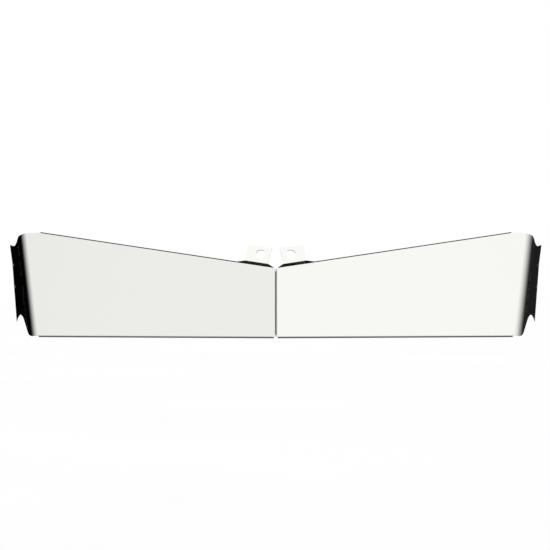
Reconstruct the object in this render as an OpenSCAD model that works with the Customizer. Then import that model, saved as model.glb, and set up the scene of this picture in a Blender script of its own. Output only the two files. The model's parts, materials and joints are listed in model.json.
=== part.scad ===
// Two-piece drop sun visor for the outside of a conventional truck cab.
// Two mirrored stainless panels lean back from their bottom edges and meet in a shallow V at a
// bolted centre seam. The outer ends roll back into side returns that fasten to the cab, and a tab
// on each top edge fastens to the roof.
// +X is to the right of a viewer in front of the truck, the front faces -Y, and +Z is up.
// The origin is in the middle of the visor's width and depth, level with its lowest edge.

/* [Sheet] */
// Thickness of the stainless sheet
sheet = 1.5; // [1.2:0.1:2]
// Outside radius of the flange bends
bend_r = 3.5; // [2.5:0.5:4.5]

/* [Stance] */
// Angle that each panel sweeps back from the centre seam
sweep = 9; // [4:0.5:14]
// Angle that each panel leans back from upright
lean = 20; // [10:0.5:26]

/* [Panel] */
// Length of the bottom edge, from the seam to the end roll
panel_l = 736.5; // [725:0.5:750]
// Height of the panel at the seam, along the sheet
centre_h = 217.5; // [190:0.5:250]
// Angle at which the top edge climbs toward the end
top_rise = 8.9; // [6:0.1:10]
// Distance along the panel at which the top edge stops climbing
crown_x = 762.5; // [745:0.5:770]
// Angle at which the top edge falls from there to the end roll
crown_fall = 2.8; // [0:0.1:5]
// Depth of the flange along the bottom edge
bottom_flange = 16; // [8:0.5:18]
// Length of the narrow flange along the top edge, past its bend
top_flange = 6; // [3:0.5:12]
// Angle of the top flange above level
flange_rise = 18; // [10:1:25]

/* [End return] */
// Angle of the end roll from upright, in the panel
end_lean = 11.8; // [8:0.1:14]
// Outside radius of the end roll
roll_r = 40; // [30:1:44]
// Angle through which the end rolls back
roll_angle = 64; // [58:1:68]
// Depth of the return at the tip of its upper ear
ear_depth = 107.5; // [104:0.5:112]
// Depth of the return at its waist, below the ear
waist_depth = 102.5; // [99:0.5:106]
// Height of that waist, along the roll
waist_height = 300; // [290:1:310]
// Angle at which the return deepens from the waist toward its lower end
rear_taper = 9; // [7:0.5:10]
// Radius of the scallop between the roll and the upper ear
scallop_r = 82; // [76:1:88]
// Height of the lowest point of that scallop
scallop_low = 333.5; // [331:0.5:336]
// Depth at which the scallop is lowest
scallop_depth = 24; // [21:1:28]
// Angle at which the edge climbs from the scallop to the ear's tip
scallop_rise = 27.5; // [25:0.5:30]
// Radius of the arch over the lower front corner
arch_r = 88; // [84:1:90]
// Depth and height of the arch's centre
arch_centre = [102.5, 30];
// Radius of the rounded corner below the arch
heel_r = 40; // [36:1:44]
// Height of the lower and the upper fastening hole
end_hole_heights = [220, 290];
// Distance of those holes from the rear edge
end_hole_inset = 14; // [12:1:20]
// Diameter of those holes
end_hole_d = 7; // [6.5:0.1:9]

/* [Roof tab] */
// Distance from the seam to the near edge of the tab, along the top edge
tab_start = 32.5; // [28:0.5:36]
// Width of the tab
tab_w = 73; // [68:1:80]
// Height of the tab above its bend
tab_h = 54.5; // [50:0.5:60]
// Angle that the tab leans back from upright
tab_lean = 28; // [20:1:34]
// Length of the deep flange that carries the tab, past its bend
tab_flange = 25; // [20:1:30]
// How far the deep flange stands out past the tab on the side of the seam
tab_shoulder = 3; // [1:0.5:5]
// Diameter of the hole in the tab
tab_hole_d = 30.5; // [22:0.5:34]
// Height of that hole's centre above the tab's bend
tab_hole_h = 28.5; // [26:0.5:31]
// Distance of the hole's centre from the seam, along the top edge
tab_hole_x = 62; // [58:0.5:66]

/* [Centre seam] */
// Thickness of the rubber gasket between the seam flanges
seam_gap = 2.4; // [1:0.1:3]
// Depth of the seam flange past its bend
seam_flange = 22; // [20:1:28]
// Heights of the seam bolts along the seam
seam_bolt_heights = [38, 108, 178];

/* [Fasteners] */
// Diameter of the bolts
bolt_d = 6; // [5:0.5:6]
// Length of the bolts under the head
bolt_l = 16; // [16:1:20]
// Width across flats of heads and nuts
hex_af = 10; // [8:0.5:10]
// Height of the bolt heads
head_h = 4; // [3:0.1:5]
// Height of the lock nuts
nut_h = 6; // [5:0.1:8]
// Outside diameter of the washers
washer_d = 12; // [11:0.5:13]
// Thickness of the washers
washer_t = 1.6; // [1:0.1:2]

/* [Rubber] */
// Thickness of the gasket inside each return
gasket_t = 3; // [2:0.5:5]
// Width of that gasket
gasket_w = 9; // [6:0.5:9]
// Thickness of the pad behind each tab
pad_t = 3; // [2:0.5:5]

/* [Hidden] */
$fn = 96;
bite = 1; // how far a fold's tail reaches into the sheet that it joins
lap = 0.02; // a step too small to see, so that joined faces are never nearly flush
edge_lap = 0.1; // how far the flat face runs into its bends
graze = 0.05; // how much a round cut is enlarged, so that it crosses the edge that it meets
corner_gap = 2; // relief between the flanges that meet at the seam
seam_inset = 6; // from the ends of the seam to the trimmed corners of its flanges
open = 1000; // how far an outline runs on where another one limits the sheet
top_bend = 90 - lean - flange_rise;
tab_bend = 90 - tab_lean - flange_rise;
end_reach = roll_r * sin(roll_angle);
roll_start_top = 335.5; // height up the panel at which the top edge reaches the roll
scallop_centre = [scallop_depth, scallop_low + scallop_r];
scallop_end = scallop_centre + scallop_r * [sin(scallop_rise), -cos(scallop_rise)];
ear_top = scallop_end[1] + (ear_depth - scallop_end[0]) * tan(scallop_rise);
heel_centre = [-heel_r, heel_r];
seam_lean = atan(tan(lean) / cos(sweep)); // the seam's lean, seen from the side
seam_skew = atan(sin(lean) * tan(sweep)); // the seam's lean, seen square to a panel
seam_turn = asin(sin(sweep) * cos(lean)); // a panel's sweep, seen along the seam
seam_centre = seam_gap / 2 + bend_r; // from the centre plane to the axis of the seam bend
seam_axis_y = seam_centre * tan(seam_turn) + bend_r / cos(seam_turn);
seam_edge = (seam_centre + bend_r * sin(seam_turn)) / cos(seam_turn);
face_start = seam_edge / cos(seam_skew); // where the flat face starts, along the bottom edge
flange_start = face_start + corner_gap;
seam_top_x = centre_h * tan(seam_skew);
seam_l = centre_h / cos(seam_skew);
seam_bolt_y = seam_axis_y + seam_flange * 0.55;
seam_hole_d = bolt_d + 0.6;
stack = seam_gap / 2 + sheet; // from the centre plane to the inner side of a seam flange
top_flange_end = (crown_x - seam_top_x) / cos(top_rise);
crown_z = roll_start_top + tan(crown_fall)
    * (panel_l + roll_start_top * tan(end_lean) - crown_x);
well = 20; // length of a cutter, longer than any wall that a hole goes through
washer_play = 0.4; // how much wider a washer's hole is than its bolt
thread_play = 0.06; // the gap that stands for the threads between a bolt and its nut
insert_d = 8; // the nylon ring in a lock nut: its diameter, its height and the lip over it
insert_h = 1.6;
insert_lip = 0.5;

// The rear corner of an ear's tip, first in the frame of the end roll, then in the panel's frame.
ear_tip = [
    end_reach + ear_depth * cos(roll_angle) - sheet * sin(roll_angle),
    roll_r * (1 - cos(roll_angle)) + ear_depth * sin(roll_angle) + sheet * cos(roll_angle),
    ear_top,
];
ear_along = panel_l + ear_tip[0] * cos(end_lean) + ear_tip[2] * sin(end_lean);
ear_height = ear_tip[2] * cos(end_lean) - ear_tip[0] * sin(end_lean);

// The visor's front, rear and lowest points, measured from the bottom of the centre seam.
front_y = face_start * sin(sweep);
rear_y = ear_along * sin(sweep)
    + (ear_tip[1] * cos(lean) + ear_height * sin(lean)) * cos(sweep);
lowest_z = -(bottom_flange + lap) * sin(lean) - lap * cos(lean);

// ---------------------------------------------------------------- frames

// Puts the origin in the middle of the visor's width and depth, at its lowest edge. Everything
// inside is drawn from the bottom of the centre seam.
module placed() {
    translate([0, -(front_y + rear_y) / 2, -lowest_z])
        children();
}

// A panel's own frame: X along its bottom edge, Y back through the sheet and Z up the sheet.
module in_panel() {
    rotate([0, 0, sweep])
        rotate([-lean, 0, 0])
            children();
}

// The frame of the end roll, in a panel's frame: X outward across the roll and Z up along it.
module at_end() {
    translate([panel_l, 0, 0])
        rotate([0, end_lean, 0])
            children();
}

// The frame of the return: X back along it, Y inward through the sheet and Z up.
module at_return() {
    at_end()
        translate([end_reach, roll_r * (1 - cos(roll_angle)), 0])
            rotate([0, 0, roll_angle])
                children();
}

// The frame of the top bend: X along the top edge, away from the seam, and Z up and square to it.
module at_top() {
    translate([seam_top_x, 0, centre_h])
        rotate([0, -top_rise, 0])
            children();
}

// The frame of the top flange past its bend: Z runs along the flange, away from the edge.
module at_top_flange() {
    at_top()
        translate([0, bend_r, 0])
            rotate([-top_bend, 0, 0])
                translate([0, -bend_r, 0])
                    children();
}

// The frame of the roof tab past the bend that turns it up from the deep flange.
module at_tab() {
    at_top_flange()
        translate([0, sheet - bend_r, tab_flange])
            rotate([tab_bend, 0, 0])
                translate([0, bend_r - sheet, 0])
                    children();
}

// The frame of the seam: X across it, Y back and Z up along it.
module at_seam() {
    rotate([-seam_lean, 0, 0])
        children();
}

module on_left() {
    mirror([1, 0, 0])
        children();
}

// ---------------------------------------------------------------- sheet metal

// A flat shape, drawn in X and Z, as a plate whose outer face is at Y = 0.
module plate(thickness) {
    translate([0, thickness, 0])
        rotate([90, 0, 0])
            linear_extrude(thickness)
                children();
}

// A profile, drawn in Y and Z, run along X.
module run_x(from, to) {
    translate([from, 0, 0])
        rotate([90, 0, 90])
            linear_extrude(to - from)
                children();
}

// A fold: the sheet comes up Y on a short tail, bends toward +X and runs on as a leg. The bend is a
// ring cut off square where the tail ends and where the leg starts.
module fold(radius, angle, leg) {
    reach = 2 * radius;
    translate([0, -bite])
        square([sheet, bite]);
    translate([radius, 0]) {
        difference() {
            circle(r = radius);
            circle(r = radius - sheet);
            translate([-reach, -reach])
                square([2 * reach, reach]);
            rotate(-angle)
                translate([-reach, 0])
                    square([2 * reach, reach]);
        }
        rotate(-angle)
            translate([-radius - lap, 0])
                square([sheet, leg]);
    }
}

// The height of the top bend at a distance along the panel.
function top_at(x) = centre_h + (x - seam_top_x) * tan(top_rise);

// A point in the panel's frame, from a distance across the roll's start line and a height.
function from_roll(across, height) = [panel_l + across + height * tan(end_lean), height];

// The outline of the flat face between its bends, square to the face. It is left open past the
// roll's start line, where the end outline takes over.
module face_outline() {
    near_top = (face_start + (centre_h - seam_top_x * tan(top_rise)) * tan(seam_skew))
        / (1 - tan(top_rise) * tan(seam_skew));
    top_overlap = 6;
    crown_end = from_roll(top_overlap, roll_start_top - top_overlap * tan(crown_fall));
    bottom = bend_r - edge_lap;
    polygon([
        [face_start - edge_lap, 0],
        [flange_start, 0],
        [flange_start, bottom],
        from_roll(bite / 2, bottom),
        from_roll(bite / 2, -open),
        [2 * open, -open],
        [2 * open, open],
        from_roll(top_overlap, open),
        crown_end,
        [crown_x, crown_z],
        [crown_x, top_at(crown_x) + edge_lap],
        [near_top - edge_lap, top_at(near_top) + edge_lap],
    ]);
}

module bottom_flange_strip() {
    run_x(flange_start, panel_l)
        translate([lap, bend_r])
            mirror([0, 1])
                fold(bend_r, 90, bottom_flange - bend_r);
}

// The narrow flange along the top edge, and the deep one that carries the tab.
module top_flange_strip() {
    tab_end = tab_start + tab_w;
    at_top()
        run_x(flange_start + corner_gap, top_flange_end)
            translate([lap, 0])
                fold(bend_r, top_bend, top_flange);
    at_top_flange()
        translate([0, lap, 0])
            plate(sheet)
                polygon([
                    [flange_start, 0],
                    [tab_start - tab_shoulder, tab_flange],
                    [tab_end, tab_flange],
                    [tab_end + tab_flange, 0],
                ]);
}

// The roof tab and its bend. The tail overlaps the deep flange.
module tab() {
    at_top_flange()
        run_x(tab_start, tab_start + tab_w)
            translate([sheet, tab_flange])
                mirror([1, 0])
                    fold(bend_r, tab_bend, tab_h);
}

// The bend and flange along the seam, with trimmed corners.
module seam_flange_strip() {
    difference() {
        in_panel()
            rotate([0, seam_skew, 0])
                translate([seam_edge, lap, corner_gap])
                    linear_extrude(seam_l - corner_gap)
                        rotate(90)
                            fold(bend_r, 90 + seam_turn, seam_flange);
        at_seam()
            seam_trim();
    }
}

// What trims the lower and upper corners of the seam flange.
module seam_trim() {
    back = seam_axis_y + seam_flange;
    for (end = [0, 1])
        translate([0, 0, end * seam_l])
            mirror([0, 0, end])
                rotate([90, 0, 90])
                    linear_extrude(2 * stack)
                        polygon([
                            [seam_axis_y, -seam_flange],
                            [seam_axis_y, seam_inset],
                            [back + seam_inset, seam_inset + seam_flange * 0.7],
                            [back + seam_inset, -seam_flange],
                        ]);
}

// The gasket between the seam's flanges, a little smaller than they are.
module seam_strip() {
    margin = 1;
    front = seam_axis_y + margin;
    back = seam_axis_y + seam_flange - margin;
    slant = seam_flange * 0.7;
    translate([-seam_gap / 2, 0, 0])
        rotate([90, 0, 90])
            linear_extrude(seam_gap)
                polygon([
                    [front, seam_inset + margin],
                    [back, seam_inset + margin + slant],
                    [back, seam_l - seam_inset - margin - slant],
                    [front, seam_l - seam_inset - margin],
                ]);
}

// Places something on each seam bolt's axis, with Z along it.
module each_seam_bolt() {
    placed()
        at_seam()
            for (height = seam_bolt_heights)
                translate([0, seam_bolt_y, height])
                    rotate([0, 90, 0])
                        children();
}

module seam_holes() {
    for (height = seam_bolt_heights)
        translate([0, seam_bolt_y, height])
            rotate([0, 90, 0])
                cylinder(d = seam_hole_d, h = well, center = true);
}

// ---------------------------------------------------------------- end return

// The depth of the rear edge at a height: it deepens downward from the waist, and upward to the
// ear's tip.
function rear_at(height) = height < waist_height
    ? waist_depth + (waist_height - height) * tan(rear_taper)
    : waist_depth + (height - waist_height) * (ear_depth - waist_depth)
        / (ear_top - waist_height);

// The slope of the straight run in the lower front corner, tangent to the heel and to the arch.
function front_slope() =
    let (across = arch_centre - heel_centre)
        atan2(across[1], across[0]) + asin((heel_r + arch_r) / norm(across));

// The outline of the roll and the return with its straight sides, seen square to the return, with
// X back and Y up. It is left open over the flat face.
module end_outline() {
    slope = front_slope();
    heel_end = heel_centre + heel_r * [sin(slope), -cos(slope)];
    corner = heel_end[0] - heel_end[1] / tan(slope);
    arch_start = arch_centre + arch_r * [-sin(slope), cos(slope)];
    front = -end_reach - bite;
    roll_top = (roll_start_top + bite / 2) / cos(end_lean);
    polygon([
        [-open, -open],
        [front, -open],
        [front, 0],
        [corner, 0],
        arch_start,
        arch_centre,
        [rear_at(arch_centre[1]), arch_centre[1]],
        [waist_depth, waist_height],
        [ear_depth, ear_top],
        scallop_end,
        scallop_centre,
        [scallop_depth, roll_top],
        [front, roll_top],
        [front, open],
        [-open, open],
    ]);
}

// What rounds the heel off.
module heel_trim() {
    slope = front_slope();
    heel_end = heel_centre + heel_r * [sin(slope), -cos(slope)];
    difference() {
        polygon([
            [-end_reach - bite / 2, -bite],
            [heel_end[0] + bite, -bite],
            [heel_end[0] + bite, heel_end[1]],
            heel_end,
            [-end_reach - bite / 2, heel_r / 2],
        ]);
        translate(heel_centre)
            circle(r = heel_r + graze);
    }
}

// The flat face, the roll and the return: one bent sheet, cut to the outline of the face and to
// that of the end, with an arch over the lower front corner and a scallop between the roll's top
// edge and the upper ear.
module main_sheet() {
    difference() {
        intersection() {
            at_end()
                translate([0, 0, open])
                    rotate([180, 0, 90])
                        linear_extrude(2 * open)
                            long_fold();
            translate([0, -open, 0])
                plate(2 * open)
                    face_outline();
            at_return()
                translate([0, -open, 0])
                    plate(2 * open)
                        end_outline();
        }
        at_return() {
            end_cut(arch_centre, arch_r + graze);
            end_cut(scallop_centre, scallop_r + graze);
            end_holes();
            translate([0, -2 * bite, 0])
                plate(2 * roll_r)
                    heel_trim();
        }
    }
}

// The end roll's fold with the whole flat face on its tail.
module long_fold() {
    length = panel_l + open;
    translate([0, -length])
        square([sheet, length]);
    fold(roll_r, roll_angle, 2 * ear_depth);
}

// A round cut through the return, square to it.
module end_cut(centre, radius) {
    translate([centre[0], 0, centre[1]])
        rotate([90, 0, 0])
            cylinder(r = radius, h = 4 * roll_r, center = true);
}

module end_holes() {
    for (height = end_hole_heights)
        translate([rear_at(height) - end_hole_inset, 0, height])
            rotate([90, 0, 0])
                cylinder(d = end_hole_d, h = well, center = true);
}

// ---------------------------------------------------------------- pieces of one side

// The right panel: one stainless sheet with all its flanges.
module formed_panel() {
    difference() {
        union() {
            in_panel() {
                main_sheet();
                bottom_flange_strip();
                top_flange_strip();
                tab();
            }
            seam_flange_strip();
        }
        in_panel()
            tab_hole(tab_hole_d);
        at_seam()
            seam_holes();
    }
}

module tab_hole(diameter) {
    at_tab()
        translate([tab_hole_x, 0, tab_hole_h])
            rotate([90, 0, 0])
                cylinder(d = diameter, h = well, center = true);
}

// The rubber strip inside a return, along its rear edge.
module side_gasket() {
    margin = 1;
    low = arch_centre[1] + arch_r + 6;
    heights = [low, waist_height, ear_top - 12];
    in_panel()
        at_return()
            translate([0, sheet, 0])
                plate(gasket_t)
                    polygon(concat(
                        [for (h = heights) [rear_at(h) - margin, h]],
                        [for (i = [2:-1:0])
                            [rear_at(heights[i]) - margin - gasket_w, heights[i]]]
                    ));
}

// The rubber pad behind a roof tab, cut away around the tab's hole.
module roof_pad() {
    margin = 2;
    hole_margin = 0.75;
    in_panel()
        difference() {
            at_tab()
                translate([tab_start + margin, sheet, margin])
                    plate(pad_t)
                        square([tab_w - 2 * margin, tab_h - 2 * margin]);
            tab_hole(tab_hole_d + 2 * hole_margin);
        }
}

// ---------------------------------------------------------------- nodes

module panel_right() {
    color("gainsboro")
        placed()
            formed_panel();
}

module panel_left() {
    color("silver")
        placed()
            on_left()
                formed_panel();
}

module return_gasket_right() {
    color("dimgray")
        placed()
            side_gasket();
}

module return_gasket_left() {
    color("dimgray")
        placed()
            on_left()
                side_gasket();
}

module tab_pad_right() {
    color("dimgray")
        placed()
            roof_pad();
}

module tab_pad_left() {
    color("dimgray")
        placed()
            on_left()
                roof_pad();
}

module seam_gasket() {
    color("black")
        placed()
            at_seam()
                difference() {
                    seam_strip();
                    seam_holes();
                }
}

// Hex bolts with their heads on the right.
module seam_bolts() {
    head_seat = stack + washer_t;
    tip = 1;
    color("lightsteelblue")
        each_seam_bolt() {
            translate([0, 0, head_seat])
                cylinder(d = hex_af / cos(30), h = head_h, $fn = 6);
            translate([0, 0, head_seat - bolt_l + tip])
                cylinder(d = bolt_d, h = bolt_l - tip + head_h / 2);
            translate([0, 0, head_seat - bolt_l])
                cylinder(d1 = bolt_d - 1.5 * tip, d2 = bolt_d, h = tip);
        }
}

module washer() {
    difference() {
        cylinder(d = washer_d, h = washer_t);
        translate([0, 0, -bite])
            cylinder(d = bolt_d + washer_play, h = washer_t + 2 * bite);
    }
}

module head_washers() {
    color("lightgray")
        each_seam_bolt()
            translate([0, 0, stack])
                washer();
}

module nut_washers() {
    color("lightgray")
        each_seam_bolt()
            translate([0, 0, -stack - washer_t])
                washer();
}

// Lock nuts on the left: a hex body with a round collar that holds the nylon ring.
module seam_nuts() {
    seat = -stack - washer_t;
    collar = insert_h + insert_lip;
    color("slategray")
        each_seam_bolt()
            translate([0, 0, seat - nut_h])
                difference() {
                    union() {
                        translate([0, 0, collar])
                            cylinder(d = hex_af / cos(30), h = nut_h - collar, $fn = 6);
                        cylinder(d = hex_af - 0.4, h = collar + bite);
                    }
                    translate([0, 0, -bite])
                        cylinder(d = bolt_d + thread_play, h = nut_h + 2 * bite);
                    translate([0, 0, insert_lip])
                        cylinder(d = insert_d, h = insert_h);
                }
}

module nut_inserts() {
    color("white")
        each_seam_bolt()
            translate([0, 0, -stack - washer_t - nut_h + insert_lip])
                difference() {
                    cylinder(d = insert_d, h = insert_h);
                    translate([0, 0, -bite])
                        cylinder(d = bolt_d + thread_play, h = insert_h + 2 * bite);
                }
}

panel_right();
panel_left();
return_gasket_right();
return_gasket_left();
tab_pad_right();
tab_pad_left();
seam_gasket();
seam_bolts();
head_washers();
nut_washers();
seam_nuts();
nut_inserts();
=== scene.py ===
"""Looks for a two-piece polished drop visor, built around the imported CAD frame."""

import json
import math

import bpy
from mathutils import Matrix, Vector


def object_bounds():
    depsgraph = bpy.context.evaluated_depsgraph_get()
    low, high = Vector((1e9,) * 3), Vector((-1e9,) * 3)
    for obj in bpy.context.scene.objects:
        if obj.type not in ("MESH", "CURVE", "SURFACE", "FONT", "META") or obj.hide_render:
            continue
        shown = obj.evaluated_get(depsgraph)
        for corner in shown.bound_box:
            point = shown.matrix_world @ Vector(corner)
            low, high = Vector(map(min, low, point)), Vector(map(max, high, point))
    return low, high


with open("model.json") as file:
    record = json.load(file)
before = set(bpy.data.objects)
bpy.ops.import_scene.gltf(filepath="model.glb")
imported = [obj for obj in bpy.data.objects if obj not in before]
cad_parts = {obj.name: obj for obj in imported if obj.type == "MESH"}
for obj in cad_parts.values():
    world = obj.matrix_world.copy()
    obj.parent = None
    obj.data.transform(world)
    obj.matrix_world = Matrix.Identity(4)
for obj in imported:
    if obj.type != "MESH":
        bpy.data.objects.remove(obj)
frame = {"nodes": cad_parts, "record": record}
cad_low, cad_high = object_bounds()

# ------------------------------------------------------------------ shader helpers

WHITE = (1.0, 1.0, 1.0, 1.0)
NOISE_SPAN = (0.3, 0.7)  # a noise mostly stays between these values
BEVEL_SAMPLES = 4
EDGE_WEAR_AND_HIGHLIGHT_TURN = (1.0, 0.8)  # cosine of the turn at an edge: none, and enough to count as a fully worn edge or a full painted highlight


class Graph:
    """A node tree with short calls for adding and wiring nodes."""

    def __init__(self, tree):
        self.tree = tree
        tree.nodes.clear()

    def add(self, kind, inputs=None, **settings):
        node = self.tree.nodes.new(kind)
        for name, value in settings.items():
            setattr(node, name, value)
        for name, value in (inputs or {}).items():
            self.feed(node, name, value)
        return node

    def feed(self, node, name, value):
        """Links an output to an input, or sets the input to a plain value."""
        socket = node.inputs[name]
        if isinstance(value, bpy.types.NodeSocket):
            self.tree.links.new(value, socket)
        else:
            socket.default_value = value

    def math(self, operation, *values):
        node = self.add("ShaderNodeMath", operation=operation)
        for index, value in enumerate(values):
            self.feed(node, index, value)
        return node.outputs[0]

    def remap(self, value, span, to_span, interpolation_type="LINEAR"):
        """Carries one span of values to another, held at the ends."""
        inputs = {
            "Value": value,
            "From Min": span[0],
            "From Max": span[1],
            "To Min": to_span[0],
            "To Max": to_span[1],
        }
        node = self.add("ShaderNodeMapRange", inputs, interpolation_type=interpolation_type)
        return node.outputs["Result"]

    def fade(self, value, span):
        """0 at the span's first value, 1 at its second."""
        return self.remap(value, span, (0.0, 1.0))

    def blend(self, factor, a, b):
        node = self.add("ShaderNodeMix", {0: factor, 2: a, 3: b}, data_type="FLOAT")
        return node.outputs[0]

    def blend_colours(self, factor, a, b):
        node = self.add("ShaderNodeMix", {0: factor, 6: a, 7: b}, data_type="RGBA")
        return node.outputs[2]

    def blend_shaders(self, factor, a, b):
        node = self.add("ShaderNodeMixShader", {0: factor, 1: a, 2: b})
        return node.outputs[0]

    def points(self, scale=(1.0, 1.0, 1.0)):
        """Points of the object in metres, stretched by a scale."""
        spot = self.add("ShaderNodeTexCoord").outputs["Object"]
        mapping = self.add("ShaderNodeMapping", {"Vector": spot, "Scale": scale})
        return mapping.outputs["Vector"]

    def noise(self, vector, scale, detail=3.0, roughness=0.5):
        inputs = {"Vector": vector, "Scale": scale, "Detail": detail, "Roughness": roughness}
        return self.add("ShaderNodeTexNoise", inputs).outputs["Fac"]

    def bump(self, height, strength, distance, under=None):
        inputs = {"Height": height, "Strength": strength, "Distance": distance}
        if under is not None:
            inputs["Normal"] = under
        return self.add("ShaderNodeBump", inputs).outputs["Normal"]

    def edge_wear_and_highlight(self, radius):
        """How close a point is to a sharp edge: 0 on open faces, 1 on an edge."""
        # Marks worn edges on the sheet and rubber, and a painted highlight on the fastener
        # corners.
        rounded = self.add("ShaderNodeBevel", {"Radius": radius}, samples=BEVEL_SAMPLES)
        face = self.add("ShaderNodeNewGeometry").outputs["Normal"]
        normals = {0: rounded.outputs["Normal"], 1: face}
        turn = self.add("ShaderNodeVectorMath", normals, operation="DOT_PRODUCT")
        return self.fade(turn.outputs["Value"], EDGE_WEAR_AND_HIGHLIGHT_TURN)

    def even_light(self, strength):
        inputs = {"Color": WHITE, "Strength": strength}
        return self.add("ShaderNodeBackground", inputs).outputs[0]

    def principled(self, colour, roughness, normal, metallic=0.0):
        inputs = {
            "Base Color": colour,
            "Metallic": metallic,
            "Roughness": roughness,
            "Normal": normal,
        }
        return self.add("ShaderNodeBsdfPrincipled", inputs).outputs[0]

    def output(self, shader, kind="ShaderNodeOutputMaterial"):
        self.add(kind, {"Surface": shader})


def new_material(name):
    material = bpy.data.materials.new(name)
    material.use_nodes = True
    return material, Graph(material.node_tree)


# ------------------------------------------------------------------ studio

# Two soft lights side by side in front of the visor. Each is full up to one angle from straight
# ahead and has faded out at another, in degrees.
LEFT_LIGHT = {"peak": 0.85, "full": 24.0, "gone": 89.0, "rest": 0.001}
RIGHT_LIGHT = {"peak": 0.945, "full": 25.0, "gone": 119.0, "rest": 0.012}
LOW_BACK = 0.1  # the studio's brightness below and behind, off the pale floor
FLOOR_LIGHT = 0.5  # the pale floor, seen well downward
BACK_LIGHT = 0.6  # a low soft light straight behind
ROOF_LIGHT = 0.96  # what a surface that looks well upward sees
SPREAD_LIGHT = 0.8  # what matt surfaces get

# Where each zone of the studio starts and where it is full, along one axis of a unit direction.
RIGHT_SIDE = (-0.02, 0.02)  # to the right
LOW_ZONE = (-0.25, -0.4)  # up
FLOOR_ZONE = (-0.78, -0.85)  # up
LEVEL_ZONE = (0.35, 0.2)  # up or down
ROOF_ZONE = (0.72, 0.8)  # up
FRONT_ZONE = (0.1, 0.3)  # toward the camera
BACK_ZONE = (0.1, -0.1)  # toward the camera
STRAIGHT_BACK = (-0.9, -0.96)  # toward the camera


def soft_light(g, turn, light):
    angles = (math.radians(light["full"]), math.radians(light["gone"]))
    return g.remap(turn, angles, (light["peak"], light["rest"]), "SMOOTHSTEP")


def studio_light(g):
    """How bright the studio is in each direction."""
    ray = g.add("ShaderNodeTexCoord").outputs["Generated"]
    axes = g.add("ShaderNodeSeparateXYZ", {"Vector": ray})
    right, up = axes.outputs["X"], axes.outputs["Z"]
    toward = g.math("MULTIPLY", axes.outputs["Y"], -1.0)
    turn = g.math("ABSOLUTE", g.math("ARCTAN2", right, toward))

    sides = soft_light(g, turn, LEFT_LIGHT), soft_light(g, turn, RIGHT_LIGHT)
    light = g.blend(g.fade(right, RIGHT_SIDE), *sides)
    low_back = g.math("MULTIPLY", g.fade(up, LOW_ZONE), g.fade(toward, BACK_ZONE))
    light = g.blend(low_back, light, LOW_BACK)
    light = g.blend(g.fade(up, FLOOR_ZONE), light, FLOOR_LIGHT)
    level = g.fade(g.math("ABSOLUTE", up), LEVEL_ZONE)
    back = g.math("MULTIPLY", level, g.fade(toward, STRAIGHT_BACK))
    light = g.blend(back, light, BACK_LIGHT)
    roof = g.math("MULTIPLY", g.fade(up, ROOF_ZONE), g.fade(toward, FRONT_ZONE))
    return g.blend(roof, light, ROOF_LIGHT)


def build_studio():
    """Soft lights that the visor mirrors. Matt surfaces get an even light instead, and the camera
    sees plain white."""
    world = bpy.data.worlds.new("studio")
    bpy.context.scene.world = world
    world.use_nodes = True
    g = Graph(world.node_tree)
    ray = g.add("ShaderNodeLightPath").outputs
    mirrored = g.even_light(studio_light(g))
    unseen = g.blend_shaders(ray["Is Diffuse Ray"], mirrored, g.even_light(SPREAD_LIGHT))
    seen = g.blend_shaders(ray["Is Camera Ray"], unseen, g.even_light(1.0))
    g.output(seen, "ShaderNodeOutputWorld")


SENSOR = 36.0  # mm
LENS = 130.9  # mm
CAMERA_X = -0.0024  # m to the right of the visor's centre
CAMERA_BACK = 6.0008  # m in front of the visor's foremost point
CAMERA_UP = 0.19055  # m above the visor's lowest edge
LEVEL_TILT = math.radians(90)  # turns a camera from straight down to level


def add_camera():
    data = bpy.data.cameras.new("camera")
    data.sensor_width = SENSOR
    data.lens = LENS
    camera = bpy.data.objects.new("camera", data)
    bpy.context.scene.collection.objects.link(camera)
    camera.location = (CAMERA_X, cad_low[1] - CAMERA_BACK, cad_low[2] + CAMERA_UP)
    camera.rotation_euler = (LEVEL_TILT, 0, 0)
    bpy.context.scene.camera = camera


FLOOR_DROP = 0.35  # m from the visor's lowest edge down to the floor
FLOOR_HALF = 40.0  # m
FLOOR_CORNERS = ((-1, -1), (1, -1), (1, 1), (-1, 1))
FLOOR_MOTTLE = {"scale": 0.8}
FLOOR_GREYS = (0.985, 1.0)


def pale_floor():
    """A glowing, barely mottled white."""
    material, g = new_material("pale_floor")
    mottle = g.noise(g.points(), **FLOOR_MOTTLE)
    greys = g.add("ShaderNodeValToRGB", {"Fac": mottle})
    for stop, place, grey in zip(greys.color_ramp.elements, NOISE_SPAN, FLOOR_GREYS):
        stop.position = place
        stop.color = (grey, grey, grey, 1.0)
    glow = g.add("ShaderNodeEmission", {"Color": greys.outputs["Color"], "Strength": 1.0})
    g.output(glow.outputs[0])
    return material


def add_floor():
    """A plain floor that only the camera sees, so that it doesn't shade or light the visor."""
    mesh = bpy.data.meshes.new("floor")
    z = cad_low[2] - FLOOR_DROP
    corners = [(x * FLOOR_HALF, y * FLOOR_HALF, z) for x, y in FLOOR_CORNERS]
    mesh.from_pydata(corners, [], [(0, 1, 2, 3)])
    mesh.materials.append(pale_floor())
    floor = bpy.data.objects.new("floor", mesh)
    bpy.context.scene.collection.objects.link(floor)
    floor.visible_glossy = False
    floor.visible_diffuse = False
    floor.visible_shadow = False


build_studio()
add_camera()
add_floor()
bpy.context.scene.view_settings.view_transform = "Standard"

# ------------------------------------------------------------------ materials

# Lengths are in metres and noise scales are per metre.

TAB_CLEAR = 0.06  # round a tab's hole, inside which the tab isn't seen in the sheet's shine

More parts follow.
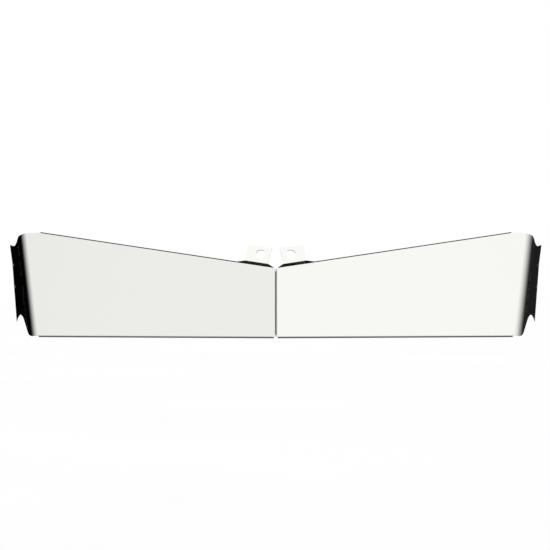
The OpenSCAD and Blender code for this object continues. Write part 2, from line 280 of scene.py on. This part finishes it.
SHEET_TINTS = ((0.985, 0.99, 0.945, 1.0), (0.99, 0.995, 0.955, 1.0))
SHEET_SMEARS = {"scale": 9.0, "detail": 4.0}
SHEET_GRAIN = {"scale": 6.0, "detail": 6.0, "roughness": 0.6}
SHEET_GRAIN_STRETCH = (4.0, 90.0, 90.0)
SHEET_GRAIN_BUMP = {"strength": 0.03, "distance": 0.00002}
SHEET_WAVES = {"scale": 2.2, "detail": 1.0}
SHEET_WAVE_BUMP = {"strength": 0.02, "distance": 0.004}
SHEET_ROUGHNESS = (0.03, 0.05)
SHEET_EDGE = 0.0006
SHEET_EDGE_TINT = (0.93, 0.935, 0.9, 1.0)
SHEET_EDGE_ROUGHNESS = 0.08

RUBBER_TINTS = ((0.018, 0.018, 0.019, 1.0), (0.045, 0.044, 0.043, 1.0))
RUBBER_BLOOM = {"scale": 60.0, "detail": 5.0}
RUBBER_PORES = {"scale": 1400.0, "detail": 4.0, "roughness": 0.6}
RUBBER_PORE_BUMP = {"strength": 0.5, "distance": 0.0003}
RUBBER_ROUGHNESS = (0.7, 0.95)
RUBBER_EDGE = 0.0005
RUBBER_EDGE_TINT = (0.09, 0.088, 0.085, 1.0)
RUBBER_EDGE_SHARE = 0.5

STEEL_TINTS = ((0.5, 0.495, 0.48, 1.0), (0.68, 0.675, 0.66, 1.0))
STEEL_STAIN = {"scale": 220.0, "detail": 4.0}
STEEL_MARKS = {"scale": 120.0, "detail": 3.0}
STEEL_MARK_STRETCH = (1.0, 30.0, 30.0)
STEEL_MARK_BUMP = {"strength": 0.2, "distance": 0.00005}
STEEL_ROUGHNESS = (0.22, 0.42)
# Painted highlight: corners within this radius take the brighter colour below, standing in for
# light caught by rounded edges.
STEEL_HIGHLIGHT_RADIUS = 0.0003
STEEL_PAINTED_HIGHLIGHT_TINT = (0.82, 0.815, 0.8, 1.0)

NYLON_TINTS = ((0.78, 0.77, 0.7, 1.0), (0.88, 0.87, 0.81, 1.0))
NYLON_MOTTLE = {"scale": 400.0, "detail": 3.0}
NYLON_MOTTLE_BUMP = {"strength": 0.15, "distance": 0.0001}
NYLON_ROUGHNESS = (0.35, 0.5)


def near_tabs(g):
    """1 at points of the sheet within reach of a roof tab's hole, 0 elsewhere."""
    spot = g.add("ShaderNodeTexCoord").outputs["Object"]
    close = None
    for mount in frame["record"]["mounts"]:
        if not mount["name"].startswith("tab_hole"):
            continue
        ends = {0: spot, 1: tuple(mount["pos_m"])}
        gap = g.add("ShaderNodeVectorMath", ends, operation="DISTANCE")
        inside = g.math("LESS_THAN", gap.outputs["Value"], TAB_CLEAR)
        close = inside if close is None else g.math("MAXIMUM", close, inside)
    return close


def polished_sheet():
    """Mirror-polished stainless: a faint polishing grain, slight oil-canning and bright edges."""
    material, g = new_material("polished_sheet")
    metres = g.points()
    grain = g.noise(g.points(SHEET_GRAIN_STRETCH), **SHEET_GRAIN)
    worn = g.edge_wear_and_highlight(SHEET_EDGE)
    tint = g.blend_colours(g.noise(metres, **SHEET_SMEARS), *SHEET_TINTS)
    roughness = g.remap(grain, NOISE_SPAN, SHEET_ROUGHNESS)
    waves = g.bump(g.noise(metres, **SHEET_WAVES), **SHEET_WAVE_BUMP)
    metal = g.principled(
        colour=g.blend_colours(worn, tint, SHEET_EDGE_TINT),
        roughness=g.math("ADD", roughness, g.math("MULTIPLY", worn, SHEET_EDGE_ROUGHNESS)),
        normal=g.bump(grain, **SHEET_GRAIN_BUMP, under=waves),
        metallic=1.0,
    )
    mirrored = g.add("ShaderNodeLightPath").outputs["Is Glossy Ray"]
    hidden = g.math("MULTIPLY", mirrored, near_tabs(g))
    clear = g.add("ShaderNodeBsdfTransparent").outputs[0]
    g.output(g.blend_shaders(hidden, metal, clear))
    return material


def rubber():
    """Dark foam rubber with fine pores, a dusty bloom and paler worn edges."""
    material, g = new_material("rubber")
    metres = g.points()
    bloom = g.noise(metres, **RUBBER_BLOOM)
    worn = g.math("MULTIPLY", g.edge_wear_and_highlight(RUBBER_EDGE), RUBBER_EDGE_SHARE)
    tint = g.blend_colours(bloom, *RUBBER_TINTS)
    shader = g.principled(
        colour=g.blend_colours(worn, tint, RUBBER_EDGE_TINT),
        roughness=g.remap(bloom, NOISE_SPAN, RUBBER_ROUGHNESS),
        normal=g.bump(g.noise(metres, **RUBBER_PORES), **RUBBER_PORE_BUMP),
    )
    g.output(shader)
    return material


def fastener_steel():
    """Satin stainless fasteners with turning marks, slight staining and a painted highlight on
    the corners.
    """
    material, g = new_material("fastener_steel")
    marks = g.noise(g.points(STEEL_MARK_STRETCH), **STEEL_MARKS)
    tint = g.blend_colours(g.noise(g.points(), **STEEL_STAIN), *STEEL_TINTS)
    shader = g.principled(
        # Painted highlight: the corners' colour is blended toward a brighter tint.
        colour=g.blend_colours(g.edge_wear_and_highlight(STEEL_HIGHLIGHT_RADIUS), tint, STEEL_PAINTED_HIGHLIGHT_TINT),
        roughness=g.remap(marks, NOISE_SPAN, STEEL_ROUGHNESS),
        normal=g.bump(marks, **STEEL_MARK_BUMP),
        metallic=1.0,
    )
    g.output(shader)
    return material


def nylon():
    """Off-white nylon with a faint mottle."""
    material, g = new_material("nylon")
    mottle = g.noise(g.points(), **NYLON_MOTTLE)
    shader = g.principled(
        colour=g.blend_colours(mottle, *NYLON_TINTS),
        roughness=g.remap(mottle, NOISE_SPAN, NYLON_ROUGHNESS),
        normal=g.bump(mottle, **NYLON_MOTTLE_BUMP),
    )
    g.output(shader)
    return material


def dress():
    """Gives every CAD node the material of its slot in the record."""
    makers = {
        "polished_sheet": polished_sheet,
        "rubber": rubber,
        "fastener_steel": fastener_steel,
        "nylon": nylon,
    }
    finished = {slot: maker() for slot, maker in makers.items()}
    for part in frame["record"]["subparts"]:
        materials = frame["nodes"][part["node"]].data.materials
        materials.clear()
        materials.append(finished[part["material_slot"]])


dress()
